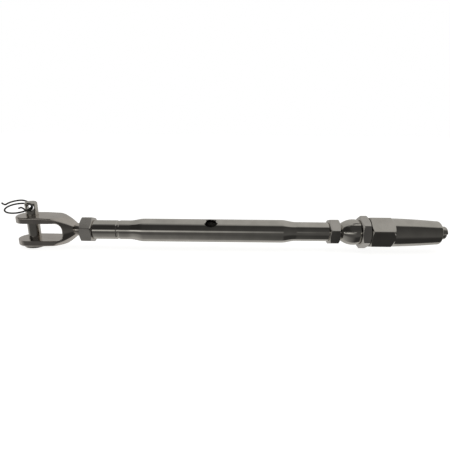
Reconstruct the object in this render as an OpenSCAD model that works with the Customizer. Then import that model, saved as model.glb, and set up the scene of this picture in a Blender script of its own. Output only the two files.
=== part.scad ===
// Rigging turnbuckle: closed tubular body, forked jaw end, wedge-type wire terminal.
// Frame: +X along the screw axis from the jaw to the terminal, +Z along the clevis pin.
// The origin is the middle of the body, on the screw axis, at the tommy bar hole.

/* [Body] */
// Length of the tubular body
body_len = 130; // [110:1:150]
// Outside diameter of the middle of the body
body_d = 12.7; // [12:0.1:14]
// Outside diameter of the swaged ends
swage_d = 10.5; // [10.2:0.1:11]
// Bore of the body between the threaded ends
body_bore_d = 9.2; // [8.8:0.1:9.6]
// Length of the swaged end at the jaw
swage_len_left = 20; // [17:0.5:21]
// Length of the swaged end at the terminal
swage_len_right = 17.9; // [17:0.1:21]
// Length of the taper behind each swaged end
swage_taper = 8; // [6:0.5:10]
// Diameter of the tommy bar hole through the middle
bar_hole_d = 6; // [4:0.5:6]
// Lean of the tommy bar hole from upright
bar_hole_lean = 28; // [0:1:45]
// Distance of the left-hand thread mark from the jaw end of the body
mark_from_end = 13.8; // [8:0.2:16]

/* [Screw threads] */
// Diameter of the two body screws
screw_d = 8; // [7:0.5:8]
// Distance the inner end of each screw stays from the middle
screw_gap = 7; // [5:0.5:10]
// Radial clearance of every running thread
thread_play = 0.05; // [0.02:0.01:0.08]
// Diameter of the thread that holds the socket
socket_thread_d = 10; // [9:0.5:10]

/* [Lock nuts] */
// Width across flats of the body lock nuts
nut_af = 13; // [12.5:0.5:14]
// Thickness of the lock nut at the jaw
left_nut_len = 6.4; // [5:0.1:7]
// Thickness of the lock nut at the terminal
right_nut_len = 5.6; // [5:0.1:6]
// Width across flats of the terminal's lock nut and socket
socket_af = 16; // [15.5:0.5:17]

/* [Jaw] */
// Distance from the middle of the body to the clevis pin
pin_x = 98.6; // [97:0.1:101]
// Diameter of the clevis pin
pin_d = 6.4; // [6:0.1:6.6]
// Gap between the two ears
jaw_gap = 9.6; // [9:0.1:11]
// Height of the jaw over both ears
jaw_h = 16.2; // [15:0.1:17]
// Width of the jaw across its flat sides
jaw_w = 14.4; // [12.6:0.1:15]
// Distance from the clevis pin to the tips of the ears
ear_reach = 8.5; // [8:0.1:10.6]
// Depth of the gap from the clevis pin to its rounded end
crotch_reach = 18.3; // [16:0.1:18.6]

/* [Split ring] */
// Radius of the ring to the middle of its wire
ring_r = 6.65; // [6.4:0.05:7]
// Diameter of the ring's wire
ring_wire_d = 0.92; // [0.8:0.02:0.92]
// Turn of the ring and of its hole about the clevis pin
ring_turn = 20; // [0:1:90]

/* [Wire terminal] */
// Length of the socket's tapered barrel
barrel_len = 27; // [25:0.1:28]
// Diameter of the barrel where it meets the hexagon
barrel_d = 15.8; // [15:0.1:15.9]
// Diameter of the barrel at its mouth
mouth_d = 13.1; // [12:0.1:13.4]
// Diameter of the rigging wire that the cone halves grip
wire_d = 4; // [3:0.5:4]
// Split between the two cone halves
cone_split = 0.3; // [0.2:0.1:1]

/* [Hidden] */
$fn = 64;

// Finishes
tube_colour = [0.62, 0.61, 0.58];
nut_colour = [0.50, 0.48, 0.46];
jaw_colour = [0.60, 0.57, 0.53];
ring_colour = [0.45, 0.43, 0.40];
socket_colour = [0.58, 0.56, 0.52];
cone_colour = [0.66, 0.64, 0.60];

// Body
body_end = body_len / 2;
screw_r = screw_d / 2;
bore_r = screw_r + thread_play;
mark_w = 1.8;
mark_depth = 0.2;
mark_x = -body_end + mark_from_end;
bar_rim_r = 3.8;
bar_rim_depth = bar_rim_r - bar_hole_d / 2;

// Tilt of a hexagon that points one corner at a given height angle on the -Y side
function corner_turn(height_angle) = 30 - height_angle;
nut_turn = corner_turn(19.5);
collar_turn = corner_turn(37.4);
socket_turn = corner_turn(17);
flat_turn = 36;

// Jaw
jaw_start = body_end + left_nut_len + 3.2;
neck_r = 3.55;
neck_end = body_end + left_nut_len + 0.8;
ear_tip = pin_x + ear_reach;
crotch_x = pin_x - crotch_reach;
crotch_r = 3.6;
shoulder_x = 93;
shoulder_drop = 0.8;
ogive_r = 29.5;
ogive_x = 95;
ogive_drop = 17.75;
pin_play = 0.06;

// Clevis pin and split ring
pin_r = pin_d / 2;
head_r = 5.8;
head_t = 1.5;
head_gap = 0.1;
pin_top = 15.5;
pin_chamfer = 0.6;
cross_z = 12.6;
cross_r = 1.65;
cross_rim = 0.55;
ring_lead = (ring_r + sqrt(ring_r * ring_r - pin_r * pin_r)) / 2;
ring_tilt = 12;
ring_droop = 2.5;
ring_stack = 0.5;
ring_start = 171;
ring_end = -438;
ring_steps = 90;
ring_sides = 10;

// Wire terminal
nut_face = body_end + right_nut_len;
dome_start = nut_face + 0.6;
dome_r = 11;
dome_x = 78.9;
dome_drop = 3.85;
dome_end = 81.8;
dome_flat = 6.6;
collar_start = 82;
collar_end = 86.8;
socket_start = 87.1;
hex_len = 12;
barrel_start = socket_start + hex_len;
mouth_x = barrel_start + barrel_len;
stud_end = 97.5;
cup_r = 3.7;
cup_depth = 6;
socket_bore_r = socket_thread_d / 2 + thread_play;
socket_bore_end = 102;
cone_big_r = 4.55;
cone_small_r = 3.6;
cone_big_x = 103.2;
cone_mouth_gap = 0.15;
cone_wall_gap = 0.15;
upper_lobe_x = 130.4;
lower_lobe_x = 129.9;
wire_bore_r = wire_d / 2 + 0.05;
former_start = stud_end - cup_depth + 0.3;
former_end = stud_end - 0.4;

module along_x() {
    rotate([0, 90, 0]) children();
}

// Six-sided bar along X with both ends turned to a chamfer
module hex_bar(flats, x0, x1, turn, cut) {
    corner_r = flats / sqrt(3);
    along_x() intersection() {
        translate([0, 0, x0]) rotate([0, 0, turn]) cylinder(r = corner_r, h = x1 - x0, $fn = 6);
        rotate_extrude() polygon([
            [0, x0], [corner_r - 2 * cut, x0], [corner_r + 0.2, x0 + 1.15 * cut + 0.1],
            [corner_r + 0.2, x1 - 1.15 * cut - 0.1], [corner_r - 2 * cut, x1], [0, x1]
        ]);
    }
}

module bore_x(radius, x0, x1) {
    along_x() translate([0, 0, x0]) cylinder(r = radius, h = x1 - x0);
}

module body_tube() {
    big = body_d / 2;
    small = swage_d / 2;
    left_small = -body_end + swage_len_left;
    right_small = body_end - swage_len_right;
    thread_left = left_small + 1;
    thread_right = right_small - 1;
    color(tube_colour) difference() {
        along_x() rotate_extrude() polygon([
            [0, -body_end], [small - 0.4, -body_end], [small, -body_end + 0.4],
            [small, mark_x - mark_w / 2], [small - mark_depth, mark_x - mark_w / 2 + 0.4],
            [small - mark_depth, mark_x + mark_w / 2 - 0.4], [small, mark_x + mark_w / 2],
            [small, left_small], [big, left_small + swage_taper],
            [big, right_small - swage_taper], [small, right_small],
            [small, body_end - 0.4], [small - 0.4, body_end], [0, body_end]
        ]);
        bore_x(bore_r, -body_end - 1, body_end + 1);
        along_x() rotate_extrude() polygon([
            [0, thread_left], [bore_r, thread_left], [body_bore_d / 2, left_small + swage_taper],
            [body_bore_d / 2, right_small - swage_taper], [bore_r, thread_right], [0, thread_right]
        ]);
        rotate([bar_hole_lean, 0, 0]) bar_hole();
    }
}

// Hole through both walls, with a countersunk rim on each side
module bar_hole() {
    cylinder(d = bar_hole_d, h = body_d + 4, center = true);
    for (side = [0, 180]) rotate([side, 0, 0])
        translate([0, 0, body_d / 2 - bar_rim_depth])
            cylinder(r1 = bar_hole_d / 2, r2 = bar_rim_r + 1, h = bar_rim_depth + 1);
}

module lock_nut(x0, len) {
    color(nut_colour) difference() {
        hex_bar(nut_af, x0, x0 + len, nut_turn, 0.55);
        bore_x(bore_r, x0 - 1, x0 + len + 1);
    }
}

module lock_nut_left() {
    lock_nut(-body_end - left_nut_len, left_nut_len);
}

module lock_nut_right() {
    lock_nut(body_end, right_nut_len);
}

// Outline of the jaw seen from its flat side, ears and the shoulder that falls to the neck
module jaw_side_outline() {
    half = jaw_h / 2;
    polygon([
        [-ear_tip - 1, -half], [-shoulder_x, -half], [-jaw_start, -half + shoulder_drop],
        [-jaw_start, half - shoulder_drop], [-shoulder_x, half], [-ear_tip - 1, half]
    ]);
}

// Outline of the jaw seen along the clevis pin
module jaw_plan_outline() {
    union() {
        translate([-ear_tip + jaw_w / 2, 0]) circle(d = jaw_w);
        translate([-ear_tip + jaw_w / 2, -jaw_w / 2])
            square([ear_tip - jaw_w / 2 - jaw_start, jaw_w]);
    }
}

// Turned envelope that rounds the block down to the neck
module jaw_envelope() {
    along_x() rotate_extrude() union() {
        intersection() {
            translate([-ogive_drop, -ogive_x]) circle(r = ogive_r, $fn = 128);
            translate([0, -ogive_x]) square([ogive_r, ogive_x - jaw_start + 1.2]);
        }
        translate([0, -ear_tip - 2]) square([ogive_r - ogive_drop, ear_tip + 2 - ogive_x]);
    }
}

// Gap between the ears, with a rounded inner end
module jaw_gap_outline() {
    flat = jaw_gap / 2 - crotch_r;
    union() {
        translate([-ear_tip - 2, -jaw_gap / 2]) square([ear_tip + 2 - crotch_x - crotch_r, jaw_gap]);
        translate([-crotch_x - crotch_r - 1, -flat]) square([crotch_r + 1, 2 * flat]);
        for (side = [-1, 1]) translate([-crotch_x - crotch_r, side * flat]) circle(r = crotch_r);
    }
}

module jaw() {
    deep = jaw_w + 4;
    color(jaw_colour) union() {
        difference() {
            intersection() {
                rotate([90, 0, 0]) linear_extrude(deep, center = true) jaw_side_outline();
                linear_extrude(jaw_h + 4, center = true) jaw_plan_outline();
                jaw_envelope();
            }
            rotate([90, 0, 0]) linear_extrude(deep, center = true) jaw_gap_outline();
            translate([-pin_x, 0, 0])
                cylinder(r = pin_r + pin_play, h = jaw_h + 4, center = true);
        }
        along_x() rotate_extrude() polygon([
            [0, -jaw_start - 0.5], [neck_r, -jaw_start - 0.5], [neck_r, -neck_end],
            [screw_r, -neck_end + 0.7], [screw_r, -screw_gap - 1], [screw_r - 1, -screw_gap],
            [0, -screw_gap]
        ]);
    }
}

module clevis_pin() {
    head_top = -jaw_h / 2 - head_gap;
    color(jaw_colour) translate([-pin_x, 0, 0]) difference() {
        rotate_extrude() polygon([
            [0, head_top - head_t], [head_r - 0.4, head_top - head_t], [head_r, head_top - head_t + 0.4],
            [head_r, head_top], [pin_r, head_top], [pin_r, pin_top - pin_chamfer],
            [pin_r - pin_chamfer, pin_top], [0, pin_top]
        ]);
        translate([0, 0, cross_z]) rotate([90, 0, ring_turn]) cross_hole();
    }
}

// Hole for the split ring, flared at both mouths
module cross_hole() {
    cylinder(r = cross_r, h = pin_d + 2, center = true);
    for (side = [0, 180]) rotate([side, 0, 0]) translate([0, 0, pin_r - cross_rim])
        cylinder(r1 = cross_r, r2 = cross_r + 2 * cross_rim, h = 2 * cross_rim);
}

// The ring's wire is counted down from its lifted outer end at ring_start. It goes through the
// pin at 0 and -360 degrees and ends in a raised tail inside the ring.
function ease(t) = let (s = min(max(t, 0), 1)) s * s * (3 - 2 * s);
function ring_flick(angle) = pow(max(0, (angle - 155) / 16), 2);
function ring_tail(angle) = max(0, (-389 - angle) / 62);
function ring_reach(angle) =
    ring_r + 0.9 * ring_flick(angle) - 3.7 * pow(ring_tail(angle), 0.75);
function ring_height(angle) =
    ring_stack * (1 + min(angle, 0) / 180) + 1.2 * ease((angle - 25) / 60)
    + 1.7 * pow(ring_flick(angle), 1.3) + 2.6 * ease((ring_tail(angle) - 0.1) / 0.45)
    - 2.6 * pow(max(0, ring_tail(angle) - 0.45), 1.5);
function wire_angle(step) = ring_start - (ring_start - ring_end) * step / ring_steps;
function wire_point(angle, around) =
    let (reach = ring_reach(angle) + ring_wire_d / 2 * cos(around))
    [reach * cos(angle), reach * sin(angle), ring_height(angle) + ring_wire_d / 2 * sin(around)];

module split_ring() {
    points = [for (step = [0:ring_steps], side = [0:ring_sides - 1])
        wire_point(wire_angle(step), 360 * side / ring_sides)];
    skins = [for (step = [0:ring_steps - 1], side = [0:ring_sides - 1])
        let (next = (side + 1) % ring_sides, here = step * ring_sides)
        [here + side, here + ring_sides + side, here + ring_sides + next, here + next]];
    first_cap = [for (side = [0:ring_sides - 1]) side];
    last_cap = [for (side = [ring_sides - 1:-1:0]) ring_steps * ring_sides + side];
    color(ring_colour) translate([-pin_x, 0, cross_z]) rotate([0, 0, ring_turn])
        rotate([0, -ring_droop, 0]) rotate([ring_tilt, 0, 0]) translate([-ring_lead, 0, 0])
        polyhedron(points = points, faces = concat(skins, [first_cap, last_cap]));
}

module terminal_stud() {
    thread_r = socket_thread_d / 2;
    color(socket_colour) difference() {
        union() {
            along_x() rotate_extrude() polygon([
                [0, screw_gap], [screw_r - 1, screw_gap], [screw_r, screw_gap + 1],
                [screw_r, dome_start + 0.5], [0, dome_start + 0.5]
            ]);
            along_x() rotate_extrude() intersection() {
                translate([-dome_drop, dome_x]) circle(r = dome_r, $fn = 128);
                translate([0, dome_start]) square([dome_r, dome_end - dome_start]);
            }
            bore_x(thread_r, dome_end - 0.5, stud_end);
        }
        for (side = [0, 180]) rotate([side - flat_turn, 0, 0])
            translate([dome_start - 0.5, dome_flat, -dome_r])
                cube([dome_end - dome_start + 0.5, dome_r, 2 * dome_r]);
        bore_x(cup_r, stud_end - cup_depth, stud_end + 1);
    }
}

module terminal_lock_nut() {
    color(nut_colour) difference() {
        hex_bar(socket_af, collar_start, collar_end, collar_turn, 0.6);
        bore_x(socket_bore_r, collar_start - 1, collar_end + 1);
    }
}

module terminal_socket() {
    mouth_r = cone_small_r + cone_mouth_gap;
    hex_r = socket_af / sqrt(3);
    color(socket_colour) difference() {
        along_x() union() {
            intersection() {
                translate([0, 0, socket_start]) rotate([0, 0, socket_turn])
                    cylinder(r = hex_r, h = hex_len + 1, $fn = 6);
                rotate_extrude() polygon([
                    [0, socket_start], [hex_r - 1.1, socket_start], [hex_r + 0.1, socket_start + 0.7],
                    [hex_r + 0.1, barrel_start - 1], [barrel_d / 2, barrel_start + 0.7],
                    [0, barrel_start + 0.7]
                ]);
            }
            rotate_extrude() polygon([
                [0, barrel_start - 2], [barrel_d / 2, barrel_start - 2], [barrel_d / 2, barrel_start],
                [mouth_d / 2, mouth_x - 0.8], [mouth_d / 2 - 0.8, mouth_x], [0, mouth_x]
            ]);
        }
        bore_x(socket_bore_r, socket_start - 1, socket_bore_end);
        along_x() rotate_extrude() polygon([
            [0, socket_bore_end - 0.1], [cone_big_r + cone_wall_gap, socket_bore_end - 0.1],
            [cone_big_r + cone_wall_gap, cone_big_x], [mouth_r, mouth_x - 1.5],
            [mouth_r, mouth_x + 1], [0, mouth_x + 1]
        ]);
    }
}

// Half of the split cone: a tapered sleeve cut along the wire's axis
module cone_half(side, lobe_x) {
    color(cone_colour) intersection() {
        along_x() rotate_extrude() polygon([
            [wire_bore_r, cone_big_x], [cone_big_r - 0.4, cone_big_x], [cone_big_r, cone_big_x + 0.4],
            [cone_small_r, mouth_x - 1.7], [cone_small_r, lobe_x - 0.4],
            [cone_small_r - 0.4, lobe_x], [wire_bore_r, lobe_x]
        ]);
        translate([cone_big_x - 1, -cone_big_r, side > 0 ? cone_split / 2 : -cone_big_r - cone_split / 2])
            cube([lobe_x - cone_big_x + 2, 2 * cone_big_r, cone_big_r]);
    }
}

module cone_half_upper() {
    cone_half(1, upper_lobe_x);
}

module cone_half_lower() {
    cone_half(-1, lower_lobe_x);
}

// Cup that curls the wire's outer strands over the big end of the cone
module wire_former() {
    color(cone_colour) along_x() rotate_extrude() polygon([
        [0, former_start], [cup_r - 0.4, former_start], [cup_r - 0.15, former_start + 0.3],
        [cup_r - 0.15, former_end], [cup_r - 0.6, former_end], [1.2, former_start + 2.2],
        [0, former_start + 1.8]
    ]);
}

body_tube();
lock_nut_left();
lock_nut_right();
jaw();
clevis_pin();
split_ring();
terminal_stud();
terminal_lock_nut();
terminal_socket();
cone_half_upper();
cone_half_lower();
wire_former();
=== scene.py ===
"""Rigging turnbuckle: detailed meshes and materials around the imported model.

Meshes are built in millimetres and stored in metres. X runs from the jaw to the wire terminal,
Z along the clevis pin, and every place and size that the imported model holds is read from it.
"""

from math import acos, atan, cos, hypot, pi, radians, sin, sqrt, tan

import bmesh
import bpy
from mathutils import Matrix, Vector


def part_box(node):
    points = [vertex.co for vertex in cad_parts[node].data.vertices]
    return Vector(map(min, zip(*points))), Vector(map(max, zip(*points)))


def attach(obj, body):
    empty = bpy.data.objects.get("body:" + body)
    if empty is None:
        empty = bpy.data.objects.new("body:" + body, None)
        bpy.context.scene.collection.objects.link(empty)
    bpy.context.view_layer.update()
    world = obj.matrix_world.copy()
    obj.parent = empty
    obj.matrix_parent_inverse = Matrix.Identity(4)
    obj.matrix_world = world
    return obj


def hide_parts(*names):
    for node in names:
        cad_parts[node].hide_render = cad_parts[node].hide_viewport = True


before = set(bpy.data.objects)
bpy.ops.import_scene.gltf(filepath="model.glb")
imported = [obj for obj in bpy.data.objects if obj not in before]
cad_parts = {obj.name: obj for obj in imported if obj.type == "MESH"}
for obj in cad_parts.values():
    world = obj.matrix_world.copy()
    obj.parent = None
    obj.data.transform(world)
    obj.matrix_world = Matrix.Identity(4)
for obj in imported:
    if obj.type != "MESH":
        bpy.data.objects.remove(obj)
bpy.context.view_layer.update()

MM = 0.001
COLUMNS = 160
SHARP_ANGLE = radians(32)
EPS = 1e-6


def span(node):
    """Lowest and highest corner of a CAD node, in millimetres."""
    low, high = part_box(node)
    return low / MM, high / MM


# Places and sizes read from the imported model
tube_high = span("body_tube")[1]
left_nut_low, left_nut_high = span("lock_nut_left")
right_nut_low, right_nut_high = span("lock_nut_right")
jaw_low, jaw_high = span("jaw")
pin_low, pin_high = span("clevis_pin")
stud_low, stud_high = span("terminal_stud")
collar_low, collar_high = span("terminal_lock_nut")
socket_low, socket_high = span("terminal_socket")
upper_cone_low, upper_cone_high = span("cone_half_upper")
lower_cone_low, lower_cone_high = span("cone_half_lower")
former_low, former_high = span("wire_former")
PIN_X = (pin_low.x + pin_high.x) / 2
BODY_R = tube_high.y
BODY_END = tube_high.x
EAR_TIP = -jaw_low.x
JAW_HALF_W = jaw_high.y
JAW_HALF_H = jaw_high.z

# Sizes of the design that a box doesn't give
SWAGE_R = 5.25
SWAGE_LEFT = 20.0
SWAGE_RIGHT = 17.9
SWAGE_TAPER = 8.0
BODY_BORE_R = 4.6
THREAD_BORE_R = 4.05
MARK_X = -BODY_END + 13.8
MARK_HALF_W = 0.9
MARK_DEPTH = 0.22
BAR_HOLE_R = 3.0
BAR_HOLE_LEAN = radians(28)
BAR_RIM_R = 3.8
SCREW_R = 4.0
PITCH = 1.25
NUT_AF = 13.0
SOCKET_AF = 16.0
THREAD_DEPTH = 0.58 * PITCH
THREAD_PLAY = 0.05
HEX_ROUND = 0.35
HEX_BEND = radians(4.5)
NUT_CORNER = 19.5
SOCKET_CORNER = 17.0
COLLAR_CORNER = 37.4
GAP_HALF = 4.8
CROTCH_X = -80.3
CROTCH_R = 3.6
PIN_R = 3.2
PIN_HEAD_T = 1.5
CROSS_Z = 12.6
CROSS_R = 1.65
RING_TURN = radians(20)
SOCKET_THREAD_R = 5.0
SOCKET_HEX_LEN = 12.0
BARREL_R = 7.88
BARREL_MOUTH_R = 6.55
CONE_SEAT_R = 4.7
SEAT_START = 102.0
CONE_R = 3.6
MOUTH_R = CONE_R + 0.15
WIRE_R = 2.05


# ---------------------------------------------------------------- mesh helpers

def piece(name, points, faces):
    """A mesh object from points in millimetres, with doubled points welded."""
    mesh = bpy.data.meshes.new(name)
    mesh.from_pydata([Vector(p) * MM for p in points], [], faces)
    work = bmesh.new()
    work.from_mesh(mesh)
    bmesh.ops.remove_doubles(work, verts=work.verts, dist=EPS)
    bmesh.ops.dissolve_degenerate(work, dist=EPS, edges=work.edges)
    bmesh.ops.recalc_face_normals(work, faces=work.faces)
    work.to_mesh(mesh)
    work.free()
    obj = bpy.data.objects.new(name, mesh)
    bpy.context.scene.collection.objects.link(obj)
    return obj


def finish_shading(obj, sharp=SHARP_ANGLE):
    """Smooth shading, with edges over the sharp angle kept crisp."""
    work = bmesh.new()
    work.from_mesh(obj.data)
    for face in work.faces:
        face.smooth = True
    for edge in work.edges:
        edge.smooth = len(edge.link_faces) == 2 and edge.calc_face_angle(0) < sharp
    work.to_mesh(obj.data)
    work.free()
    weighted = obj.modifiers.new("even_normals", "WEIGHTED_NORMAL")
    weighted.keep_sharp = True
    return obj


def rounded(corners, steps=4):
    """The outline through corners (a, b, radius), each turned in a smooth bend of that radius."""
    line = []
    for i, (a, b, radius) in enumerate(corners):
        here = Vector((a, b))
        if radius <= 0 or i in (0, len(corners) - 1):
            line.append((a, b))
            continue
        before = Vector(corners[i - 1][:2]) - here
        after = Vector(corners[i + 1][:2]) - here
        if before.length < EPS or after.length < EPS:
            line += [(a, b)] * (steps + 1)
            continue
        half = before.angle(after) / 2
        reach = min(radius / max(tan(half), EPS), 0.48 * before.length, 0.48 * after.length)
        start = here + before.normalized() * reach
        end = here + after.normalized() * reach
        for k in range(steps + 1):
            t = k / steps
            bend = start * (1 - t) ** 2 + here * 2 * t * (1 - t) + end * t ** 2
            line.append((bend.x, bend.y))
    return line


def smooth_step(t):
    t = min(max(t, 0.0), 1.0)
    return t * t * (3 - 2 * t)


def turned(name, column, angles=None, closed=False):
    """A solid turned about X. column(angle) gives (x, radius) points, as many at every angle.

    The angle is measured in the YZ plane from -Y, upward. closed joins each column into a ring,
    for a solid with a bore through it.
    """
    angles = angles or [2 * pi * k / COLUMNS for k in range(COLUMNS)]
    points = []
    for angle in angles:
        points += [(x, -r * cos(angle), r * sin(angle)) for x, r in column(angle)]
    count = len(points) // len(angles)
    faces = []
    for k in range(len(angles)):
        here = k * count
        there = (k + 1) % len(angles) * count
        for i in range(count if closed else count - 1):
            j = (i + 1) % count
            faces.append((here + i, here + j, there + j, there + i))
    return piece(name, points, faces)


def box_piece(name, low, high):
    points = [(x, y, z) for x in (low[0], high[0]) for y in (low[1], high[1]) for z in (low[2], high[2])]
    faces = [(0, 1, 3, 2), (4, 6, 7, 5), (0, 4, 5, 1), (2, 3, 7, 6), (0, 2, 6, 4), (1, 5, 7, 3)]
    return piece(name, points, faces)


def upright(obj, x):
    """Turns a solid made about X so that it stands along Z at x."""
    obj.data.transform(Matrix.Translation((x * MM, 0, 0)) @ Matrix.Rotation(-pi / 2, 4, "Y"))
    return obj


def carve(obj, tool, operation="DIFFERENCE"):
    """Applies a boolean with tool, which is then removed."""
    cut = obj.modifiers.new("cut", "BOOLEAN")
    cut.object = tool
    cut.operation = operation
    cut.solver = "EXACT"
    bpy.context.view_layer.update()
    shape = obj.evaluated_get(bpy.context.evaluated_depsgraph_get())
    mesh = bpy.data.meshes.new_from_object(shape)
    obj.modifiers.clear()
    obj.data = mesh
    bpy.data.objects.remove(tool)
    return obj


def hex_radius(angle, flats, corner):
    """Radius of a six-sided bar with softly rounded corners. corner is one corner's height angle."""
    sixth = pi / 3
    off = abs((angle - radians(corner) + sixth / 2) % sixth - sixth / 2)
    apothem = flats / 2
    from_flat = sixth / 2 - off
    if from_flat <= atan((apothem - HEX_ROUND) * tan(sixth / 2) / apothem):
        return apothem / cos(from_flat)
    centre = (apothem - HEX_ROUND) / cos(sixth / 2)
    return centre * cos(off) + sqrt(max(HEX_ROUND ** 2 - (centre * sin(off)) ** 2, 0))


def hex_angles(corner):
    """Angles round a hexagon, close together at the rounded corners."""
    angles = []
    for side in range(6):
        at_corner = radians(corner) + side * pi / 3
        angles += [at_corner + HEX_BEND * (k / 4 - 1) for k in range(9)]
        flat = pi / 3 - 2 * HEX_BEND
        angles += [at_corner + HEX_BEND + flat * k / 22 for k in range(1, 22)]
    return angles


def thread_radius(x, angle, radius, start, end, hand):
    """Radius of an outside screw thread, cut back to a chamfer at both ends."""
    turn = (x / PITCH - hand * angle / (2 * pi)) % 1
    rise = abs(2 * turn - 1)
    depth = THREAD_DEPTH * min(max(1.35 * rise - 0.175, 0), 1)
    runout = min(smooth_step((x - start) / (0.8 * PITCH)), smooth_step((end - x) / (0.8 * PITCH)))
    chamfer = max(0, 0.7 - (x - start), 0.7 - (end - x))
    return radius - max(depth * runout, chamfer)


def thread_points(angle, start, end, radius, hand):
    per_turn = 8
    steps = round((end - start) / PITCH * per_turn)
    stations = [start + (end - start) * k / steps for k in range(steps + 1)]
    return [(x, thread_radius(x, angle, radius, start, end, hand)) for x in stations]


# ---------------------------------------------------------------- body tube

def tube_column(angle):
    small_left = -BODY_END + SWAGE_LEFT
    small_right = BODY_END - SWAGE_RIGHT
    bends = 14
    outer = rounded([
        (-BODY_END, THREAD_BORE_R + 0.5, 0), (-BODY_END, SWAGE_R, 0.45),
        (MARK_X - MARK_HALF_W, SWAGE_R, 0.2), (MARK_X - MARK_HALF_W + 0.35, SWAGE_R - MARK_DEPTH, 0.25),
        (MARK_X + MARK_HALF_W - 0.35, SWAGE_R - MARK_DEPTH, 0.25), (MARK_X + MARK_HALF_W, SWAGE_R, 0.2),
        (small_left - 1, SWAGE_R, 0)])
    rise = [(small_left + SWAGE_TAPER * k / bends,
             SWAGE_R + (BODY_R - SWAGE_R) * smooth_step(k / bends)) for k in range(bends + 1)]
    middle = [(small_left + SWAGE_TAPER + 1 + k * 4, BODY_R) for k in range(18)]
    fall = [(small_right - SWAGE_TAPER * k / bends,
             SWAGE_R + (BODY_R - SWAGE_R) * smooth_step(k / bends)) for k in range(bends, -1, -1)]
    end = rounded([(small_right + 1, SWAGE_R, 0), (BODY_END, SWAGE_R, 0.45),
                   (BODY_END, THREAD_BORE_R + 0.5, 0)])
    bore = [(BODY_END - 0.5, THREAD_BORE_R), (small_right, THREAD_BORE_R),
            (small_right - SWAGE_TAPER, BODY_BORE_R), (small_left + SWAGE_TAPER, BODY_BORE_R),
            (small_left, THREAD_BORE_R), (-BODY_END + 0.5, THREAD_BORE_R)]
    middle = [(x, r) for x, r in middle if x < fall[0][0] - 0.5]
    return outer + rise + middle + fall + end + bore


def bar_hole_tool():
    """Cutter for the tommy bar hole: a straight bore that flares softly at each skin."""
    rim_depth = BAR_RIM_R - BAR_HOLE_R
    flare_start = BODY_R - rim_depth
    half = rounded([(0, BAR_HOLE_R, 0), (flare_start - 0.1, BAR_HOLE_R, 0.4),
                    (BODY_R + 2, BAR_HOLE_R + rim_depth + 1.9, 0), (BODY_R + 2, 0, 0)], 6)
    line = [(-x, r) for x, r in reversed(half)] + half[1:]
    tool = turned("bar_hole_tool", lambda angle: line)
    tool.data.transform(Matrix.Rotation(BAR_HOLE_LEAN, 4, "X") @ Matrix.Rotation(-pi / 2, 4, "Y"))
    return tool


def make_tube():
    tube = turned("tube", tube_column, closed=True)
    carve(tube, bar_hole_tool())
    return finish_shading(tube)


# ---------------------------------------------------------------- nuts and socket

def nut_column(start, end, flats, corner, bore):
    """Column of a hexagon nut, chamfered at 30 degrees on both ends."""
    corner_r = flats / sqrt(3)
    face_r = corner_r - 0.085 * flats
    middle = (start + end) / 2

    def column(angle):
        radius = hex_radius(angle, flats, corner)
        chamfer = max((radius - face_r) * tan(radians(30)), 0.05)
        half = rounded([
            (start + 0.7, bore, 0), (start, bore + 0.7, 0.1), (start, face_r, 0.15),
            (start + chamfer, radius, 0.18), (middle, radius, 0)], 3)
        mirrored = [(start + end - x, r) for x, r in reversed(half[:-1])]
        return half + mirrored
    return column


def make_nut(name, low, high, flats, corner, bore):
    nut = turned(name, nut_column(low.x, high.x, flats, corner, bore), hex_angles(corner), True)
    return finish_shading(nut)


def socket_column(angle):
    start = socket_low.x
    mouth = socket_high.x
    shoulder = start + SOCKET_HEX_LEN
    radius = hex_radius(angle, SOCKET_AF, SOCKET_CORNER)
    face_r = SOCKET_AF / sqrt(3) - 1.1
    chamfer = max((radius - face_r) * 0.58, 0.08)
    drop = max(radius - BARREL_R, 0.02)
    outer = rounded([
        (start + 0.6, SOCKET_THREAD_R + THREAD_PLAY, 0), (start, SOCKET_THREAD_R + 0.6, 0.1),
        (start, min(face_r, radius - 0.05), 0.2), (start + chamfer, radius, 0.2),
        (shoulder + 0.5 - 1.1 * drop, radius, 0.25), (shoulder + 0.7, BARREL_R, 0.3),
        (shoulder + 2.5, BARREL_R - 0.02, 0)], 4)
    rows = 12
    barrel_end = mouth - 1.1
    for k in range(1, rows + 1):
        t = k / rows
        x = shoulder + 2.5 + (barrel_end - shoulder - 2.5) * t
        outer.append((x, BARREL_R + (BARREL_MOUTH_R - BARREL_R) * (t - 0.12 * sin(pi * t))))
    end = rounded([(barrel_end, BARREL_MOUTH_R, 0), (mouth, BARREL_MOUTH_R - 0.05, 0.9),
                   (mouth, MOUTH_R + 0.25, 0.1), (mouth - 0.25, MOUTH_R, 0)], 6)
    bore = [(mouth - 1.5, MOUTH_R), (upper_cone_low.x, CONE_SEAT_R), (SEAT_START, CONE_SEAT_R),
            (SEAT_START, SOCKET_THREAD_R + THREAD_PLAY)]
    return outer + end[1:] + bore


def make_socket():
    socket = turned("socket", socket_column, hex_angles(SOCKET_CORNER), True)
    return finish_shading(socket)


# ---------------------------------------------------------------- terminal stud

DOME_START = right_nut_high.x + 0.6
DOME_END = 81.8
DOME_R = 11.0
DOME_X = 78.9
DOME_DROP = 3.85
FLAT_HALF = 6.6
FLAT_TURN = radians(36)
UNDERCUT_R = 3.4
CUP_R = 3.7
CUP_DEEP = 6


def dome_radius(x):
    return sqrt(max(DOME_R ** 2 - (x - DOME_X) ** 2, 0)) - DOME_DROP


def dome_x(radius):
    """Place on the rising side of the dome that has this radius."""
    return DOME_X - sqrt(max(DOME_R ** 2 - (radius + DOME_DROP) ** 2, 0))


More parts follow.
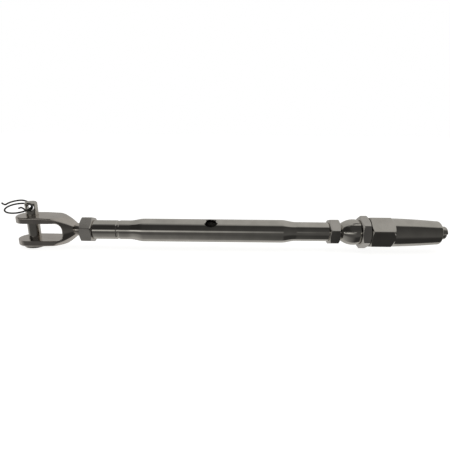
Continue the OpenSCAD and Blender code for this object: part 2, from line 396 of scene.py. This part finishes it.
def stud_column(angle):
    off = abs((angle - FLAT_TURN + pi / 2) % pi - pi / 2)
    full = dome_radius(DOME_X)
    flat_r = FLAT_HALF / max(cos(off), EPS)
    meet = dome_x(flat_r) if flat_r < full else DOME_END
    shank = thread_points(angle, stud_low.x, DOME_START - 0.6, SCREW_R, 1)
    rows = 16
    dome = [(DOME_START + (meet - DOME_START) * k / rows,
             dome_radius(DOME_START + (meet - DOME_START) * k / rows)) for k in range(rows + 1)]
    top_r = min(flat_r, dome_radius(DOME_END))
    flat_rows = [(meet + (DOME_END - meet) * k / 4, top_r if meet < DOME_END else dome_radius(DOME_END))
                 for k in range(1, 5)]
    thread = thread_points(angle, DOME_END + 0.1, stud_high.x, SOCKET_THREAD_R, 1)
    cup = [(stud_high.x, CUP_R), (stud_high.x - CUP_DEEP, CUP_R), (stud_high.x - CUP_DEEP, 0)]
    return [(stud_low.x, 0)] + shank + [(DOME_START - 0.5, UNDERCUT_R)] + dome + flat_rows + thread + cup


def make_stud():
    edge = acos(FLAT_HALF / dome_radius(DOME_X))
    angles = sorted(set([2 * pi * k / COLUMNS for k in range(COLUMNS)] + [
        (FLAT_TURN + side + sign * edge) % (2 * pi) for side in (0, pi) for sign in (-1, 1)]))
    return finish_shading(turned("stud", stud_column, angles))


# ---------------------------------------------------------------- jaw

OGIVE_R = 29.5
OGIVE_X = -95.0
OGIVE_DROP = 17.75
JAW_START = -74.6
NECK_R = 3.5
SHOULDER_X = -93.0
SHOULDER_DROP = 0.8
EDGE_R = 0.8
FLARE = 0.75
FLARE_SHARES = [(-EAR_TIP - 3, 0.1), (-92, 0.1), (-88, 0.2), (-86, 0.5)]


def plate(name, height, edge):
    """The jaw's block: a tongue with a round tip and rounded rims, thinner towards the neck."""
    tip = -EAR_TIP
    turn = 28
    levels = [(-height + edge * (1 - cos(k * pi / 12)), edge * (1 - sin(k * pi / 12))) for k in range(7)]
    levels += [(0, 0)] + [(-z, inset) for z, inset in reversed(levels)]
    points = []
    for z, inset in levels:
        reach = JAW_HALF_W - inset
        centre = tip + JAW_HALF_W
        bend = [k * pi / 2 / turn for k in range(turn + 1)]
        line = [(centre - reach * cos(a), reach * sin(a)) for a in bend]
        line += [(SHOULDER_X, reach), (-86, reach), (-80, reach), (JAW_START + 1, reach)]
        for x, y in line:
            fall = SHOULDER_DROP / JAW_HALF_H * min(max((x - SHOULDER_X) / (JAW_START - SHOULDER_X), 0), 1)
            points += [(x, y, z * (1 - fall)), (x, -y, z * (1 - fall))]
    row = 2 * (turn + 5)
    faces = []
    for level in range(len(levels) - 1):
        base = level * row
        for k in range(turn + 4):
            a, b = base + 2 * k, base + 2 * k + 2
            faces += [(a, b, b + row, a + row), (a + 1, a + 1 + row, b + 1 + row, b + 1)]
        last = base + row - 2
        faces.append((last, last + 1, last + 1 + row, last + row))
    for base in (0, (len(levels) - 1) * row):
        for k in range(turn + 4):
            a = base + 2 * k
            faces.append((a, a + 1, a + 3, a + 2))
    return piece(name, points, faces)


def ogive_tool():
    """Turned envelope that rounds the block down to the neck."""
    rows = 40
    line = [(OGIVE_X - 30, 0), (OGIVE_X - 30, OGIVE_R - OGIVE_DROP)]
    end = JAW_START + 0.9
    for k in range(rows + 1):
        x = OGIVE_X + (end - OGIVE_X) * k / rows
        line.append((x, sqrt(OGIVE_R ** 2 - (x - OGIVE_X) ** 2) - OGIVE_DROP))
    line.append((end, 0))
    return turned("ogive_tool", lambda angle: line)


def gap_tool():
    """Cutter for the gap between the ears. It flares where it leaves the flat sides, hardly at
    the ears' tips and fully at the crotch.
    """
    sides = []
    for k in range(7):
        a = k * pi / 14
        sides.append((JAW_HALF_W - FLARE * (1 - sin(a)), FLARE * (1 - cos(a))))
    sides.append((JAW_HALF_W + 1.5, FLARE + 1.4))
    stations = [(-y, grow) for y, grow in reversed(sides)] + sides
    centre_x = CROTCH_X - CROTCH_R
    points = []
    for y, grow in stations:
        half = GAP_HALF + grow
        radius = CROTCH_R + grow
        line = [(x, -(GAP_HALF + grow * share)) for x, share in FLARE_SHARES]
        line += [(centre_x + radius * sin(k * pi / 24), -(half - radius) - radius * cos(k * pi / 24))
                 for k in range(13)]
        line += [(x, -z) for x, z in reversed(line)]
        points += [(x, y, z) for x, z in line]
    count = len(points) // len(stations)
    faces = [tuple(range(count)), tuple(range(len(points) - count, len(points)))]
    for s in range(len(stations) - 1):
        for k in range(count):
            n = (k + 1) % count
            faces.append((s * count + k, s * count + n, (s + 1) * count + n, (s + 1) * count + k))
    return piece("gap_tool", points, faces)


def pin_bore_tool():
    reach = JAW_HALF_H + 2
    flare = JAW_HALF_H - 0.25
    half = [(0, PIN_R + 0.06), (flare, PIN_R + 0.06), (flare + 1.25, PIN_R + 1.31), (reach, 0)]
    line = [(-x, r) for x, r in reversed(half)] + half[1:]
    return upright(turned("pin_bore_tool", lambda angle: line), PIN_X)


def shank_column(angle):
    neck = [(JAW_START - 0.6, 0), (JAW_START - 0.6, NECK_R), (JAW_START + 0.4, NECK_R),
            (left_nut_low.x - 1.2, NECK_R)]
    return neck + thread_points(angle, left_nut_low.x - 0.8, jaw_high.x, SCREW_R, -1) + [(jaw_high.x, 0)]


def make_jaw():
    jaw = plate("jaw_fork", JAW_HALF_H, EDGE_R)
    carve(jaw, ogive_tool(), "INTERSECT")
    carve(jaw, gap_tool())
    carve(jaw, pin_bore_tool())
    carve(jaw, turned("jaw_shank", shank_column), "UNION")
    return finish_shading(jaw)


# ---------------------------------------------------------------- clevis pin and split ring

def make_pin():
    head_r = pin_high.y
    bottom, top = pin_low.z, pin_high.z
    line = rounded([
        (bottom, 0, 0), (bottom, head_r, 0.75), (bottom + PIN_HEAD_T, head_r, 0.3),
        (bottom + PIN_HEAD_T, PIN_R, 0.1), (0, PIN_R, 0), (top - 0.7, PIN_R, 0.4),
        (top, PIN_R - 0.6, 0.4), (top, 0, 0)], 5)
    pin = upright(turned("pin", lambda angle: line), PIN_X)
    half = rounded([(0, CROSS_R, 0), (PIN_R - 0.45, CROSS_R, 0.3), (PIN_R + 1, CROSS_R + 1.1, 0),
                    (PIN_R + 1, 0, 0)])
    hole_line = [(-x, r) for x, r in reversed(half)] + half[1:]
    hole = turned("cross_hole_tool", lambda angle: hole_line)
    place = Matrix.Translation((PIN_X * MM, 0, CROSS_Z * MM))
    hole.data.transform(place @ Matrix.Rotation(RING_TURN + pi / 2, 4, "Z"))
    carve(pin, hole)
    return finish_shading(pin)


RING_R = 6.65
WIRE_HALF = 0.435
RING_START = 171
RING_END = -438
RING_STACK = 0.5
RING_TILT = radians(12)
RING_DROOP = radians(2.5)


def ring_path(angle):
    """Middle of the ring's wire, counted down from its lifted outer end. It passes through the
    pin at 0 and -360 degrees and ends in a raised tail inside the ring.
    """
    flick = max(0, (angle - 155) / 16) ** 2
    tail = max(0, (-389 - angle) / 62)
    reach = RING_R + 0.9 * flick - 3.7 * tail ** 0.75
    rise = RING_STACK * (1 + min(angle, 0) / 180) + 1.2 * smooth_step((angle - 25) / 60)
    rise += 1.7 * flick ** 1.3 + 2.6 * smooth_step((tail - 0.1) / 0.45) - 2.6 * max(0, tail - 0.45) ** 1.5
    lead = (RING_R + sqrt(RING_R ** 2 - PIN_R ** 2)) / 2
    point = Vector((reach * cos(radians(angle)) - lead, reach * sin(radians(angle)), rise))
    point.rotate(Matrix.Rotation(RING_TILT, 3, "X"))
    point.rotate(Matrix.Rotation(-RING_DROOP, 3, "Y"))
    point.rotate(Matrix.Rotation(RING_TURN, 3, "Z"))
    return point + Vector((PIN_X, 0, CROSS_Z))


def make_ring():
    steps, sides = 240, 14
    stations = [RING_START + (RING_END - RING_START) * k / steps for k in range(steps + 1)]
    profile = [(0, 0.0), (0, 0.55), (0, 0.85)] + [(k, 1.0) for k in range(steps + 1)]
    profile += [(steps, 0.85), (steps, 0.55), (steps, 0.0)]
    points = []
    for index, (step, size) in enumerate(profile):
        angle = stations[step]
        centre = ring_path(angle)
        along = (ring_path(angle - 0.5) - ring_path(angle + 0.5)).normalized()
        side = along.cross(Vector((0, 0, 1))).normalized()
        up = side.cross(along)
        push = 0.25 * WIRE_HALF * sqrt(max(1 - size ** 2, 0))
        centre = centre + along * (push if index > 3 else -push)
        for k in range(sides):
            a = 2 * pi * k / sides
            points.append(centre + (side * cos(a) + up * sin(a)) * WIRE_HALF * size)
    faces = []
    for row in range(len(profile) - 1):
        for k in range(sides):
            n = (k + 1) % sides
            faces.append((row * sides + k, row * sides + n, (row + 1) * sides + n, (row + 1) * sides + k))
    return finish_shading(piece("ring", points, faces), radians(60))


# ---------------------------------------------------------------- wire grip

def make_cone_half(name, low, high):
    big_r = high.y
    line = rounded([
        (low.x, WIRE_R + 0.3, 0.1), (low.x, big_r, 0.4), (socket_high.x - 1.7, CONE_R, 0.5),
        (high.x, CONE_R - 0.03, 0.7), (high.x, WIRE_R, 0.25), (low.x + 0.3, WIRE_R, 0)], 5)
    half = turned(name, lambda angle: line, closed=True)
    keep = box_piece("keep_tool", (low.x - 1, -big_r - 1, low.z), (high.x + 1, big_r + 1, high.z))
    carve(half, keep, "INTERSECT")
    return finish_shading(half)


def make_former():
    outer_r = former_high.y
    line = rounded([
        (former_low.x, 0, 0), (former_low.x, outer_r, 0.4), (former_high.x, outer_r, 0.15),
        (former_high.x, outer_r - 0.45, 0.1), (former_low.x + 2.2, 1.2, 0.5),
        (former_low.x + 1.8, 0, 0)], 5)
    return finish_shading(turned("former", lambda angle: line))


# ---------------------------------------------------------------- materials

def steel(name, colour, roughness, grain, grain_depth, metal=1.0):
    """Stainless steel: grain gives the polishing lines' stretch along X, Y and Z."""
    tint = 0.06
    material = bpy.data.materials.new(name)
    material.use_nodes = True
    nodes, links = material.node_tree.nodes, material.node_tree.links
    shader = nodes["Principled BSDF"]
    shader.inputs["Metallic"].default_value = metal
    place = nodes.new("ShaderNodeTexCoord")
    stretch = nodes.new("ShaderNodeMapping")
    stretch.inputs["Scale"].default_value = grain
    lines = nodes.new("ShaderNodeTexNoise")
    lines.inputs["Scale"].default_value = 1.0
    lines.inputs["Detail"].default_value = 4.0
    links.new(place.outputs["Object"], stretch.inputs["Vector"])
    links.new(stretch.outputs["Vector"], lines.inputs["Vector"])
    clouds = nodes.new("ShaderNodeTexNoise")
    clouds.inputs["Scale"].default_value = 160.0
    clouds.inputs["Detail"].default_value = 3.0
    links.new(place.outputs["Object"], clouds.inputs["Vector"])

    shade = nodes.new("ShaderNodeValToRGB")
    shade.color_ramp.elements[0].position = 0.3
    shade.color_ramp.elements[1].position = 0.75
    shade.color_ramp.elements[0].color = [c * (1 - 2 * tint) for c in colour] + [1]
    shade.color_ramp.elements[1].color = [min(c * (1 + tint), 1) for c in colour] + [1]
    links.new(clouds.outputs["Fac"], shade.inputs["Fac"])
    links.new(shade.outputs["Color"], shader.inputs["Base Color"])

    rough = nodes.new("ShaderNodeMapRange")
    rough.inputs["From Min"].default_value = 0.3
    rough.inputs["From Max"].default_value = 0.7
    rough.inputs["To Min"].default_value = roughness * 0.7
    rough.inputs["To Max"].default_value = roughness * 1.35
    links.new(lines.outputs["Fac"], rough.inputs["Value"])
    links.new(rough.outputs["Result"], shader.inputs["Roughness"])

    bump = nodes.new("ShaderNodeBump")
    bump.inputs["Strength"].default_value = 0.35
    bump.inputs["Distance"].default_value = grain_depth
    links.new(lines.outputs["Fac"], bump.inputs["Height"])
    links.new(bump.outputs["Normal"], shader.inputs["Normal"])
    return material


def make_materials():
    turned_grain = (2600, 120, 120)
    drawn_grain = (90, 2200, 2200)
    return {
        "body_steel": steel("body_steel", (0.66, 0.64, 0.60), 0.05, drawn_grain, 0.000006),
        "nut_steel": steel("nut_steel", (0.62, 0.60, 0.57), 0.12, (500, 1500, 1500), 0.00002),
        "jaw_steel": steel("jaw_steel", (0.65, 0.61, 0.57), 0.10, (140, 1400, 1400), 0.00002),
        "pin_steel": steel("pin_steel", (0.62, 0.60, 0.56), 0.10, (300, 300, 2200), 0.00001),
        "ring_steel": steel("ring_steel", (0.035, 0.034, 0.032), 0.3, (800, 800, 800), 0.00001,
                            metal=0.5),
        # The bore's near-black colour is painted shade for the tube's dim inside; its roughness is the
        # rough bored finish.
        "bore_rough_painted_shade": steel("bore_rough_painted_shade", (0.10, 0.095, 0.09), 0.5, turned_grain, 0.00001),
        "terminal_steel": steel("terminal_steel", (0.64, 0.62, 0.58), 0.10, drawn_grain, 0.00001),
        "cone_steel": steel("cone_steel", (0.62, 0.60, 0.56), 0.28, turned_grain, 0.00001),
    }


# ---------------------------------------------------------------- stage

CAMERA_X = 7.73
CAMERA_DISTANCE = 203.0
LENS = 29.1
ROLL = radians(0.58)
VIEW_HEIGHT = 17.0
AIM_RISE = 3.2


def make_camera():
    data = bpy.data.cameras.new("camera")
    data.lens = LENS
    data.sensor_width = 36
    data.clip_start = 0.005
    camera = bpy.data.objects.new("camera", data)
    bpy.context.scene.collection.objects.link(camera)
    height = radians(VIEW_HEIGHT)
    back = Vector((0, -cos(height), sin(height)))
    aim = Vector((CAMERA_X, 0, 0)) + Vector((0, sin(height), cos(height))) * AIM_RISE
    camera.location = (Vector((CAMERA_X, 0, 0)) + back * CAMERA_DISTANCE) * MM
    look = aim * MM - camera.location
    camera.rotation_mode = "QUATERNION"
    turn = Matrix.Rotation(-ROLL, 4, look.normalized())
    facing = look.to_track_quat("-Z", "Y").to_matrix().to_4x4()
    camera.rotation_quaternion = (turn @ facing).to_quaternion()
    bpy.context.scene.camera = camera


# A plain studio, as its left and right ends: pale floor, backdrop and ceiling, a dark room in
# front with one strip light, and a low card on the left. Each end has a place across X and stops
# of height angle in degrees (0 is level in front, 90 overhead, 180 level behind) and brightness.
STUDIO_TINT = (1, 0.98, 0.94)
STUDIO = [
    (-0.5, [(-180, 0.4), (-96, 0.5), (-60, 0.3), (-40, 0.25), (-25, 0.1), (-5, 0.1), (0, 0.8), (10, 0.8),
            (16, 0.03), (80, 0.03), (88, 0.4), (180, 0.4)]),
    (0.3, [(-180, 0.5), (-96, 0.5), (-90, 0.04), (-40, 0.04), (-20, 0.1), (66, 0.05), (76, 0.5),
           (180, 0.5)]),
]


def make_world():
    """The studio as the polished steel sees it. The camera itself sees plain white."""
    world = bpy.data.worlds.new("studio")
    bpy.context.scene.world = world
    world.use_nodes = True
    nodes, links = world.node_tree.nodes, world.node_tree.links
    background = nodes["Background"]
    place = nodes.new("ShaderNodeTexCoord")
    axes = nodes.new("ShaderNodeSeparateXYZ")
    links.new(place.outputs["Generated"], axes.inputs["Vector"])
    front = nodes.new("ShaderNodeMath")
    front.operation = "MULTIPLY"
    front.inputs[1].default_value = -1
    links.new(axes.outputs["Y"], front.inputs[0])
    height = nodes.new("ShaderNodeMath")
    height.operation = "ARCTAN2"
    links.new(axes.outputs["Z"], height.inputs[0])
    links.new(front.outputs[0], height.inputs[1])
    turn = nodes.new("ShaderNodeMapRange")
    turn.inputs["From Min"].default_value = -pi
    turn.inputs["From Max"].default_value = pi
    links.new(height.outputs[0], turn.inputs["Value"])

    def end_colour(stops):
        node = nodes.new("ShaderNodeValToRGB")
        line = node.color_ramp
        line.interpolation = "LINEAR"
        while len(line.elements) < len(stops):
            line.elements.new(0.5)
        for element, (angle, level) in zip(line.elements, stops):
            element.position = (angle + 180) / 360
            element.color = [level * t for t in STUDIO_TINT] + [1]
        links.new(turn.outputs["Result"], node.inputs["Fac"])
        return node.outputs["Color"]

    def blend(factor, first, second):
        node = nodes.new("ShaderNodeMix")
        node.data_type = "RGBA"
        links.new(factor, node.inputs["Factor"])
        links.new(first, node.inputs["A"])
        if second is None:
            node.inputs["B"].default_value = (1, 1, 1, 1)
        else:
            links.new(second, node.inputs["B"])
        return node.outputs["Result"]

    (left_x, left_stops), (right_x, right_stops) = STUDIO
    across = nodes.new("ShaderNodeMapRange")
    across.inputs["From Min"].default_value = left_x
    across.inputs["From Max"].default_value = right_x
    links.new(axes.outputs["X"], across.inputs["Value"])
    colour = blend(across.outputs["Result"], end_colour(left_stops), end_colour(right_stops))
    seen = nodes.new("ShaderNodeLightPath")
    links.new(blend(seen.outputs["Is Camera Ray"], colour, None), background.inputs["Color"])


def make_floor():
    """A pale floor under the pin's head, left out of the steel's reflections."""
    size = 1.5
    level = pin_low.z * MM
    mesh = bpy.data.meshes.new("floor")
    corners = [(-size, -size, level), (size, -size, level), (size, size, level), (-size, size, level)]
    mesh.from_pydata(corners, [], [(0, 1, 2, 3)])
    floor = bpy.data.objects.new("floor", mesh)
    bpy.context.scene.collection.objects.link(floor)
    material = bpy.data.materials.new("pale_floor")
    material.use_nodes = True
    shader = material.node_tree.nodes["Principled BSDF"]
    shader.inputs["Base Color"].default_value = (0.5, 0.5, 0.5, 1)
    shader.inputs["Roughness"].default_value = 0.9
    shader.inputs["Specular IOR Level"].default_value = 0.1
    shader.inputs["Emission Color"].default_value = (1, 1, 0.995, 1)
    shader.inputs["Emission Strength"].default_value = 0.9
    mesh.materials.append(material)
    floor.visible_glossy = False


def make_light():
    """One wide soft light overhead."""
    data = bpy.data.lights.new("overhead", "AREA")
    data.shape = "RECTANGLE"
    data.size, data.size_y = 1.2, 0.8
    data.energy = 1.5
    data.color = (1, 1, 0.98)
    light = bpy.data.objects.new("overhead", data)
    bpy.context.scene.collection.objects.link(light)
    light.location = (0, 0.1, 0.9)
    light.rotation_euler = (-light.location).to_track_quat("-Z", "Y").to_euler()
    light.visible_glossy = False


# ---------------------------------------------------------------- build

materials = make_materials()
PIECES = [
    (make_tube(), "body_tube", "body_tube", "body_steel"),
    (make_nut("left_nut", left_nut_low, left_nut_high, NUT_AF, NUT_CORNER, THREAD_BORE_R),
     "left_nut", "lock_nut_left", "nut_steel"),
    (make_nut("right_nut", right_nut_low, right_nut_high, NUT_AF, NUT_CORNER, THREAD_BORE_R),
     "right_nut", "lock_nut_right", "nut_steel"),
    (make_nut("collar_nut", collar_low, collar_high, SOCKET_AF, COLLAR_CORNER,
              SOCKET_THREAD_R + THREAD_PLAY),
     "terminal_nut", "terminal_lock_nut", "nut_steel"),
    (make_jaw(), "jaw", "jaw", "jaw_steel"),
    (make_pin(), "clevis_pin", "clevis_pin", "pin_steel"),
    (make_ring(), "split_ring", "split_ring", "ring_steel"),
    (make_stud(), "stud", "terminal_stud", "terminal_steel"),
    (make_socket(), "socket", "terminal_socket", "terminal_steel"),
    (make_cone_half("upper_cone_half", upper_cone_low, upper_cone_high),
     "upper_cone", "cone_half_upper", "cone_steel"),
    (make_cone_half("lower_cone_half", lower_cone_low, lower_cone_high),
     "lower_cone", "cone_half_lower", "cone_steel"),
    (make_former(), "former", "wire_former", "cone_steel"),
]
for part, body, node, slot in PIECES:
    part.data.materials.clear()
    part.data.materials.append(materials[slot])
    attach(part, body)
    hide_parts(node)

# The inside of the body is rough as bored and coloured near black: painted shade for the tube's dim
# inside.
tube = PIECES[0][0]
tube.data.materials.append(materials["bore_rough_painted_shade"])
for face in tube.data.polygons:
    if hypot(face.center.y, face.center.z) < (BODY_BORE_R + 0.1) * MM:
        face.material_index = 1

make_floor()
make_world()
make_light()
make_camera()
bpy.context.scene.view_settings.view_transform = "Standard"
